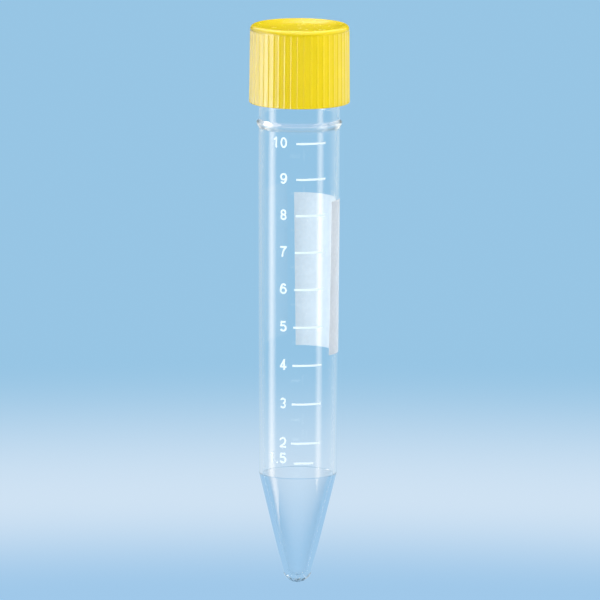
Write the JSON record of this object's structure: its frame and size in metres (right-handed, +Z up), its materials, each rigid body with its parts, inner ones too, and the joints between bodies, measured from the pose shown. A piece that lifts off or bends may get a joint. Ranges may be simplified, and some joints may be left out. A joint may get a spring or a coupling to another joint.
{
  "type": "screw-cap test tube",
  "caption": "Clear plastic test tube with a conical base, a printed volume scale, a writing field and a ribbed yellow screw cap that unscrews along its thread.",
  "frame": {"origin": "the lowest point of the tip, on the tube's axis", "axes": "+Z up the tube's axis to the cap, the printed scale faces -Y, +X is to the right of the scale"},
  "size_m": [0.0184, 0.0184, 0.1037],
  "materials": {
    "clear_plastic": "clear, glossy moulded polystyrene",
    "cap_plastic": "satin moulded polyethylene, yellow",
    "seal_plastic": "soft, matte, off-white",
    "scale_ink": "opaque white print",
    "field_ink": "thin white print, slightly translucent"
  },
  "bodies": {
    "tube": {"tube": "clear_plastic", "mark_1_5_ml": "scale_ink", "mark_2_ml": "scale_ink", "mark_3_ml": "scale_ink", "mark_4_ml": "scale_ink", "mark_5_ml": "scale_ink", "mark_6_ml": "scale_ink", "mark_7_ml": "scale_ink", "mark_8_ml": "scale_ink", "mark_9_ml": "scale_ink", "mark_10_ml": "scale_ink", "number_1_5": "scale_ink", "number_2": "scale_ink", "number_3": "scale_ink", "number_4": "scale_ink", "number_5": "scale_ink", "number_6": "scale_ink", "number_7": "scale_ink", "number_8": "scale_ink", "number_9": "scale_ink", "number_10": "scale_ink", "writing_field": "field_ink"},
    "lift": {"sealing_disc": "seal_plastic"},
    "cap": {"screw_cap": "cap_plastic"}
  },
  "joints": [
    {"name": "cap_lift", "type": "slide", "parent": "tube", "child": "lift", "axis": [0, 0, 1], "range_m": [0, 0.015]},
    {"name": "cap_turn", "type": "hinge", "parent": "lift", "child": "cap", "pos_m": [0, 0, 0.1], "axis": [0, 0, 1], "range_deg": [0, 1800]}
  ],
  "couplings": [
    {"joint": "cap_lift", "follows": "cap_turn", "m_per_rad": 0.00047746}
  ]
}
